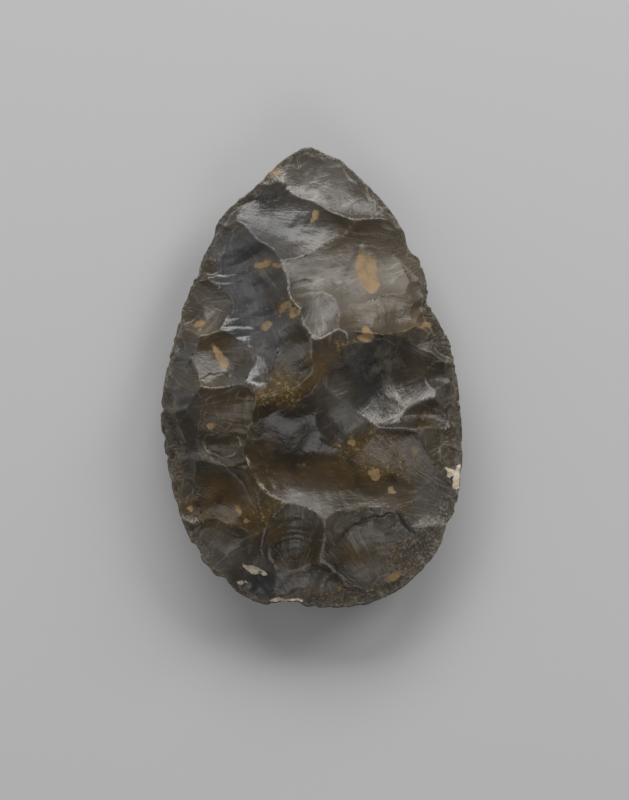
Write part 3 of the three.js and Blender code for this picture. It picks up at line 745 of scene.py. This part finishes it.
def paintStone(mesh, co, faces):
    count = len(mesh.vertices)
    stainAndSheen, sign, glow, hue = (np.zeros((count, 4)) for _ in range(4))
    normals = np.empty(count * 3)
    mesh.vertices.foreach_get("normal", normals)
    up = normals.reshape(-1, 3)[:, 2] > 0
    for side, here in ((1, up), (-1, ~up)):
        found = surfaceOf(faces[side], co[here, 0], co[here, 1], True)
        for channel, name in enumerate(("slate", "lilac", "warm")):
            own = [flake[name] for flake in faces[side]["scars"]]
            values = np.array(own + [paint["noScar"]] * 2)  # the last two are for resting and uncut
            stainAndSheen[here, channel] = values[found["owner"].astype(int)] * paint["ownShare"][side]
        # close to a ridge: mask of the painted highlight along it
        sign[here, 2] = np.exp(-(found["gap"] / paint["ridgeWidth"]) ** 2)
        stainAndSheen[here, 3] = np.exp(-found["inward"] / paint["edgeWidth"])
    for channel, (name, seed) in enumerate((("tan", 200), ("cortex", 300))):
        field = np.zeros(count)
        for i, (x, y, rx, ry, turn) in enumerate(marks[name]):
            field = np.maximum(field, blotch(co, x, y, rx, ry, turn, seed + i))
        sign[up, channel] = field[up]
    # the slate and lilac patches add the stone's colour and, in places, painted sheen
    for channel, name in enumerate(("slate", "lilac", "warm")):
        stainAndSheen[up, channel] = np.clip(stainAndSheen[up, channel] + tintField(name, co[up, 0], co[up, 1]), 0, 1)
    # the dark channel holds painted shade as well as darker stone
    for channel, name in ((0, "dark"), (1, "gold"), (2, "grit")):
        glow[up, channel] = np.clip(tintField(name, co[up, 0], co[up, 1]), 0, 1)
    glow[~up, 1] = paint["goldBelow"]
    for channel, name in ((0, "fawn"), (1, "dull")):
        hue[up, channel] = np.clip(tintField(name, co[up, 0], co[up, 1]), 0, 1)
    # painted highlight on the creases and painted shadow beside them
    pale, deep = creaseMarks(co[up, 0], co[up, 1])[1:]
    glow[up, 3] = pale
    sign[up, 3] = deep
    for name, values in (("stainAndSheen", stainAndSheen), ("sign", sign), ("glow", glow), ("hue", hue)):
        layer = mesh.attributes.new(name, "FLOAT_COLOR", "POINT")
        layer.data.foreach_set("color", values.ravel())
    layBlowMap(mesh, co, faces)


blowMap = {
    "length": 100,  # mm for each unit of u
    "shift": (0.37, 17, 0.53, 13),  # sets neighbouring scars apart in u and v
    "plain": scar(0, 60, 60, 60, -90, 1),  # stands for what no scar has cut
}


def layBlowMap(mesh, co, faces):  # u runs away from the struck point of each scar, v round it
    count = len(mesh.polygons)
    corners = np.empty(count * 3, dtype=int)
    mesh.polygons.foreach_get("vertices", corners)
    corners = corners.reshape(-1, 3)
    middle = co[corners].mean(1)
    normal = np.cross(co[corners[:, 1]] - co[corners[:, 0]], co[corners[:, 2]] - co[corners[:, 0]])[:, 2]
    uv = np.zeros((count, 3, 2))
    shiftU, turnsU, shiftV, turnsV = blowMap["shift"]
    for side in (1, -1):
        here = normal * side > 0
        owner = surfaceOf(faces[side], middle[here, 0], middle[here, 1], True)["owner"].astype(int)
        part = uv[here]
        for k in np.unique(owner):
            mine = owner == k
            flake = faces[side]["scars"][k] if k >= 0 else blowMap["plain"]
            spots = co[corners[here][mine]]
            distance, angle = struckFrom(flake, spots[:, :, 0], spots[:, :, 1])
            part[mine, :, 0] = distance / blowMap["length"] + shiftU * (k % turnsU)
            part[mine, :, 1] = angle / math.pi + shiftV * (k % turnsV)
        uv[here] = part
    layer = mesh.uv_layers.new(name="blow")
    layer.data.foreach_set("uv", uv.ravel())


# flint
flint = {
    "deep": (0.009, 0.0063, 0.0024),
    "brown": (0.042, 0.0275, 0.0078),
    "amber": (0.090, 0.050, 0.0105),
    # the slate and lilac colours also serve as painted sheen
    "slate": (0.052, 0.055, 0.060),
    "fawn": (0.110, 0.080, 0.044),
    "lilac": (0.112, 0.100, 0.086),
    "wisp": (0.27, 0.245, 0.205),
    "betweenWisps": (0.012, 0.010, 0.007),
    # colour of the dark patches: darker stone and painted shade
    "shade": (0.0060, 0.0046, 0.0026),
    "clump": (0.10, 0.060, 0.012),
    "gold": (0.33, 0.235, 0.11),
    "rim": (0.105, 0.088, 0.066),
    "grit": (0.32, 0.27, 0.205),
    "pit": (0.007, 0.0055, 0.004),
    # painted highlight colour for the ridges between scars
    "ridge": (0.27, 0.245, 0.20),
    # painted highlight colour for raised crease lines
    "paleHighlightLine": (0.27, 0.24, 0.19),
    # painted shadow colour for the undercut beside a step
    "stepShadow": (0.002, 0.0015, 0.001),
    "tan": (0.27, 0.19, 0.098),
    "rust": (0.26, 0.155, 0.055),
    "cortex": (0.72, 0.66, 0.54),
    "oldCortex": (0.52, 0.42, 0.28),
    "ior": 1.54,
    "polish": (0.13, 0.25),  # least and most roughness of bare stone
    "bumpStrength": 0.9,
    "bumpHeight": 0.00022,
}


def node(tree, kind, **settings):
    made = tree.nodes.new(kind)
    for name, value in settings.items():
        if name in made.inputs:
            made.inputs[name].default_value = value
        else:
            setattr(made, name, value)
    return made


def flintMaterial():
    material = bpy.data.materials.new("darkFlint")
    material.use_nodes = True
    tree = material.node_tree
    link = tree.links.new
    shader = tree.nodes["Principled BSDF"]
    where = node(tree, "ShaderNodeTexCoord").outputs["Object"]
    blow = node(tree, "ShaderNodeUVMap", uv_map="blow").outputs["UV"]
    stainAndSheen = node(tree, "ShaderNodeAttribute", attribute_name="stainAndSheen")
    sign = node(tree, "ShaderNodeAttribute", attribute_name="sign")
    stainAndSheenParts = node(tree, "ShaderNodeSeparateColor")
    link(stainAndSheen.outputs["Color"], stainAndSheenParts.inputs[0])
    signs = node(tree, "ShaderNodeSeparateColor")
    link(sign.outputs["Color"], signs.inputs[0])

    def noise(scale, detail=4, rough=0.6, distortion=0.0, vector=where):
        made = node(tree, "ShaderNodeTexNoise", Scale=scale, Detail=detail, Roughness=rough,
                    Distortion=distortion)
        link(vector, made.inputs["Vector"])
        return made.outputs["Fac"]

    def ramp(value, low, high, start=0.0, end=1.0):
        made = node(tree, "ShaderNodeMapRange")
        made.inputs["From Min"].default_value = low
        made.inputs["From Max"].default_value = high
        made.inputs["To Min"].default_value = start
        made.inputs["To Max"].default_value = end
        link(value, made.inputs["Value"])
        return made.outputs["Result"]

    def maths(kind, a, b):
        made = node(tree, "ShaderNodeMath", operation=kind)
        for socket, value in zip(made.inputs, (a, b)):
            if isinstance(value, (int, float)):
                socket.default_value = value
            else:
                link(value, socket)
        return made.outputs[0]

    def blend(factor, a, b):
        made = node(tree, "ShaderNodeMix", data_type="RGBA")
        for socket, value in ((made.inputs[0], factor), (made.inputs[6], a), (made.inputs[7], b)):
            if isinstance(value, tuple):
                socket.default_value = (*value, 1)
            elif isinstance(value, (int, float)):
                socket.default_value = value
            else:
                link(value, socket)
        return made.outputs[2]

    def stretched(along, around):
        made = node(tree, "ShaderNodeMapping", Scale=(along, around, 1))
        link(blow, made.inputs["Vector"])
        return made.outputs["Vector"]

    glow = node(tree, "ShaderNodeAttribute", attribute_name="glow")
    glows = node(tree, "ShaderNodeSeparateColor")
    link(glow.outputs["Color"], glows.inputs[0])
    hue = node(tree, "ShaderNodeAttribute", attribute_name="hue")
    hues = node(tree, "ShaderNodeSeparateColor")
    link(hue.outputs["Color"], hues.inputs[0])
    dark, gold, gritty = glows.outputs[0], glows.outputs[1], glows.outputs[2]
    edge = maths("MAXIMUM", stainAndSheen.outputs["Alpha"], maths("MULTIPLY", gritty, 0.8))

    aside = node(tree, "ShaderNodeMapping", Location=(0.31, 0.17, 0.43))
    link(where, aside.inputs["Vector"])
    shifted = aside.outputs["Vector"]
    # wisps that run out from each struck point, then the colours, one over another
    streaks = noise(1, 4, 0.65, 0.3, stretched(9, 26))
    fineStreaks = noise(1, 3, 0.6, 0.2, stretched(14, 90))
    cloud = ramp(noise(75, 5, 0.62, 0.6), 0.38, 0.66)
    body = blend(cloud, flint["deep"], flint["brown"])
    warmth = maths("MULTIPLY", stainAndSheenParts.outputs[2], ramp(noise(110, 4, 0.6, 0.5), 0.30, 0.68))
    body = blend(warmth, body, flint["amber"])
    # slate and lilac: colour of the stone, and in places painted sheen
    slate = maths("MULTIPLY", stainAndSheenParts.outputs[0], ramp(noise(70, 4), 0.2, 0.7, 0.5, 1.0))
    body = blend(slate, body, flint["slate"])
    fawn = maths("MULTIPLY", hues.outputs[0], ramp(noise(150, 5, 0.7), 0.25, 0.65, 0.45, 1.0))
    body = blend(fawn, body, flint["fawn"])
    lilac = maths("MULTIPLY", stainAndSheenParts.outputs[1], ramp(noise(130, 5, 0.7), 0.25, 0.65, 0.35, 1.0))
    body = blend(lilac, body, flint["lilac"])
    wisps = maths("ADD", streaks, maths("MULTIPLY", fineStreaks, 0.6))
    lines = ramp(wisps, 0.86, 0.99)
    body = blend(maths("MULTIPLY", lines, ramp(lilac, 0.0, 0.5, 0.12, 0.5)), body, flint["wisp"])
    shadows = ramp(wisps, 0.70, 0.58)
    body = blend(maths("MULTIPLY", shadows, 0.45), body, flint["betweenWisps"])
    # dark patches: darker stone and painted shade
    shade = maths("MULTIPLY", dark, ramp(noise(120, 4, 0.6, 0.5), 0.25, 0.6, 0.5, 1.0))
    body = blend(maths("MULTIPLY", shade, 0.85), body, flint["shade"])
    speck = ramp(noise(1000, 4, 0.75), 0.54, 0.64)
    clumps = ramp(maths("ADD", noise(190, 4, 0.7, 1.0), maths("MULTIPLY", gold, 0.42)), 0.64, 0.86)
    body = blend(maths("MULTIPLY", clumps, 0.45), body, flint["clump"])
    speckle = maths("MULTIPLY", speck, clumps)
    body = blend(maths("MULTIPLY", speckle, 0.75), body, flint["gold"])
    body = blend(maths("MULTIPLY", stainAndSheen.outputs["Alpha"], 0.55), body, flint["rim"])
    grit = maths("MULTIPLY", ramp(noise(1100, 4, 0.75), 0.52, 0.62), edge)
    body = blend(maths("MULTIPLY", grit, 0.85), body, flint["grit"])
    pits = maths("MULTIPLY", ramp(noise(700, 4, 0.7, vector=shifted), 0.46, 0.36), edge)
    body = blend(maths("MULTIPLY", pits, 0.7), body, flint["pit"])
    # painted highlight along the ridges between scars
    ridge = maths("MULTIPLY", signs.outputs[2], ramp(noise(160, 3), 0.46, 0.62))
    body = blend(maths("MULTIPLY", ridge, 0.28), body, flint["ridge"])
    # painted highlight along the raised creases
    paleHighlightLine = ramp(glow.outputs["Alpha"], 0.15, 0.55, 0.0, 0.42)
    body = blend(paleHighlightLine, body, flint["paleHighlightLine"])
    # painted shadow beside the steps of the creases
    body = blend(sign.outputs["Alpha"], body, flint["stepShadow"])
    fray = maths("MULTIPLY", maths("SUBTRACT", noise(480, 5, 0.8), 0.5), 0.9)
    tan = ramp(maths("ADD", signs.outputs[0], fray), 0.42, 0.62, 0.0, 0.9)
    tan = maths("MULTIPLY", tan, ramp(noise(420, 4, 0.7), 0.3, 0.55, 0.45, 1.0))
    tanTone = blend(ramp(noise(260, 3), 0.4, 0.6), flint["tan"], flint["rust"])
    body = blend(tan, body, tanTone)
    cortex = ramp(maths("ADD", signs.outputs[1], fray), 0.46, 0.54)
    cortexTone = blend(ramp(noise(400, 3), 0.4, 0.6), flint["cortex"], flint["oldCortex"])
    body = blend(cortex, body, cortexTone)
    link(body, shader.inputs["Base Color"])
    # gloss, duller on tinted and weathered stone
    gloss = ramp(noise(180, 4), 0.3, 0.7, *flint["polish"])
    gloss = maths("ADD", gloss, maths("MULTIPLY", stainAndSheenParts.outputs[1], 0.12))
    gloss = maths("ADD", gloss, maths("MULTIPLY", hues.outputs[1], 0.22))
    gloss = maths("ADD", gloss, maths("MULTIPLY", tan, 0.25))
    gloss = maths("ADD", gloss, maths("MULTIPLY", cortex, 0.55))
    link(gloss, shader.inputs["Roughness"])
    shader.inputs["IOR"].default_value = flint["ior"]
    # fine relief, calmer on the dark patches of darker stone and painted shade, and rougher at the edge
    calm = ramp(dark, 0.1, 0.8, 1.0, 0.25)
    relief = maths("ADD", maths("MULTIPLY", streaks, 0.8), maths("MULTIPLY", fineStreaks, 0.4))
    relief = maths("MULTIPLY", relief, calm)
    relief = maths("ADD", relief, maths("MULTIPLY", noise(650, 5, 0.65), ramp(edge, 0.1, 1.0, 0.7, 3.0)))
    grain = node(tree, "ShaderNodeBump", Strength=flint["bumpStrength"], Distance=flint["bumpHeight"])
    link(relief, grain.inputs["Height"])
    link(grain.outputs["Normal"], shader.inputs["Normal"])
    return material


stone = makeAxe()
stone.data.materials.clear()
stone.data.materials.append(flintMaterial())
bpy.ops.object.select_all(action="DESELECT")
stone.select_set(True)
bpy.context.view_layer.objects.active = stone
bpy.ops.object.shade_smooth()
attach(stone, "root")
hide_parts("hand_axe")
print("hand axe made:", len(stone.data.polygons), "faces")

# floor, light and camera
studio = {
    "floorSize": 3.0,
    "floorTone": 0.5,
    "lights": [  # name, place, size, watts
        ("topSoftbox", (-0.25, 1.75, 1.05), (2.0, 0.8), 39),
        ("upperRightBox", (1.05, 0.95, 0.85), (0.7, 0.7), 10.5),
        ("leftStrip", (-1.0, 0.2, 0.6), (0.4, 0.9), 1.5),
        ("frontFill", (0.35, -1.3, 1.15), (0.9, 0.7), 4),
    ],
    "airTone": 0.8,
    "airStrength": 0.24,
    "cameraPlace": (0.0009, -0.0068, 0.69),
    "lens": 100,
    "sensor": 36,
}


def makeFloor():
    bpy.ops.object.select_all(action="DESELECT")
    bpy.ops.mesh.primitive_plane_add(size=studio["floorSize"])
    floor = bpy.context.object
    floor.name = "floor"
    paper = bpy.data.materials.new("paleBoard")
    paper.use_nodes = True
    shader = paper.node_tree.nodes["Principled BSDF"]
    tone = studio["floorTone"]
    shader.inputs["Base Color"].default_value = (tone, tone, tone, 1)
    shader.inputs["Roughness"].default_value = 0.9
    floor.data.materials.append(paper)


def softLight(name, place, size, power, aim=(0, 0, 0.01)):
    lamp = bpy.data.lights.new(name, "AREA")
    lamp.shape = "RECTANGLE"
    lamp.size, lamp.size_y = size
    lamp.energy = power
    holder = bpy.data.objects.new(name, lamp)
    bpy.context.collection.objects.link(holder)
    holder.location = place
    away = [a - b for a, b in zip(aim, place)]
    holder.rotation_euler = Vector(away).to_track_quat("-Z", "Y").to_euler()


makeFloor()
for lightName, lightPlace, lightSize, watts in studio["lights"]:
    softLight(lightName, lightPlace, lightSize, watts)
world = bpy.data.worlds.new("studioAir")
world.use_nodes = True
airTone = studio["airTone"]
air = world.node_tree.nodes["Background"]
air.inputs["Color"].default_value = (airTone, airTone, airTone, 1)
air.inputs["Strength"].default_value = studio["airStrength"]
bpy.context.scene.world = world
bpy.context.scene.view_settings.view_transform = "Standard"
print("floor and", len(studio["lights"]), "lights set")

eye = bpy.data.cameras.new("viewer")
eye.lens = studio["lens"]
eye.sensor_width = studio["sensor"]
eye.sensor_fit = "AUTO"
eyeHolder = bpy.data.objects.new("viewer", eye)
bpy.context.collection.objects.link(eyeHolder)
eyeHolder.location = studio["cameraPlace"]
bpy.context.scene.camera = eyeHolder
print("camera set")
